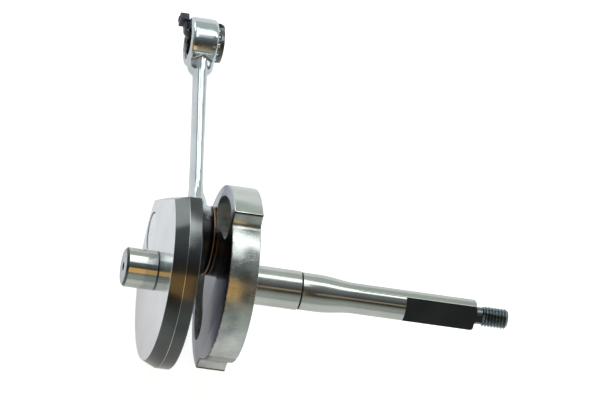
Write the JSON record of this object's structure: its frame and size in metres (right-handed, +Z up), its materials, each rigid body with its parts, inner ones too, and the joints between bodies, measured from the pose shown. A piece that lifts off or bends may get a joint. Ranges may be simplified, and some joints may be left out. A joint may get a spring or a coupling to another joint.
{
  "type": "crankshaft",
  "caption": "Built-up engine crankshaft with round webs, rotary-valve cutaway, long threaded shaft, needle-bearing connecting rod and a tie holding the small-end bearing.",
  "frame": {"origin": "on the main axis, in the connecting rod's middle plane between the two webs", "axes": "+X along the main axis towards the long threaded shaft, +Z up with the crankshaft lying on its webs, connecting rod pointing roughly along +Y"},
  "size_m": [0.1525, 0.1561, 0.0744],
  "materials": {
    "ground_steel": "turned and ground steel, satin",
    "polished_steel": "tumbled and polished steel, mirror-like with fine scratches",
    "rod_steel": "polished forged steel",
    "pin_steel": "ground hardened steel",
    "bronze": "bronze, satin",
    "dark_cage": "black oxide steel",
    "roller_steel": "lapped bearing steel",
    "nylon": "black nylon with a blue cast"
  },
  "bodies": {
    "crank": {"left_crank_half": "ground_steel", "right_crank_half": "polished_steel", "crank_pin": "pin_steel"},
    "conrod": {"connecting_rod": "rod_steel", "bearing_tie": "nylon"},
    "big_end_bearing": {"big_end_cage": "dark_cage", "big_end_roller_01": "roller_steel", "big_end_roller_02": "roller_steel", "big_end_roller_03": "roller_steel", "big_end_roller_04": "roller_steel", "big_end_roller_05": "roller_steel", "big_end_roller_06": "roller_steel", "big_end_roller_07": "roller_steel", "big_end_roller_08": "roller_steel", "big_end_roller_09": "roller_steel", "big_end_roller_10": "roller_steel", "big_end_roller_11": "roller_steel", "big_end_roller_12": "roller_steel"},
    "small_end_bearing": {"small_end_cage": "dark_cage", "small_end_roller_01": "roller_steel", "small_end_roller_02": "roller_steel", "small_end_roller_03": "roller_steel", "small_end_roller_04": "roller_steel", "small_end_roller_05": "roller_steel", "small_end_roller_06": "roller_steel", "small_end_roller_07": "roller_steel", "small_end_roller_08": "roller_steel", "small_end_roller_09": "roller_steel", "small_end_roller_10": "roller_steel", "small_end_roller_11": "roller_steel", "small_end_roller_12": "roller_steel"},
    "left_washer": {"left_thrust_washer": "bronze"},
    "right_washer": {"right_thrust_washer": "bronze"}
  },
  "joints": [
    {"name": "conrod_swing", "type": "hinge", "parent": "crank", "child": "conrod", "pos_m": [0, 0.02001, -0.01325], "axis": [1, 0, 0], "continuous": true},
    {"name": "big_end_cage_turn", "type": "hinge", "parent": "crank", "child": "big_end_bearing", "pos_m": [0, 0.02001, -0.01325], "axis": [1, 0, 0], "continuous": true},
    {"name": "left_washer_turn", "type": "hinge", "parent": "crank", "child": "left_washer", "pos_m": [-0.0055, 0.02001, -0.01325], "axis": [1, 0, 0], "continuous": true},
    {"name": "right_washer_turn", "type": "hinge", "parent": "crank", "child": "right_washer", "pos_m": [0.0055, 0.02001, -0.01325], "axis": [1, 0, 0], "continuous": true},
    {"name": "small_end_cage_turn", "type": "hinge", "parent": "conrod", "child": "small_end_bearing", "pos_m": [0, 0.10587, -0.02731], "axis": [1, 0, 0], "continuous": true}
  ],
  "couplings": [
    {"joint": "big_end_cage_turn", "follows": "conrod_swing", "ratio": 0.57895}
  ]
}
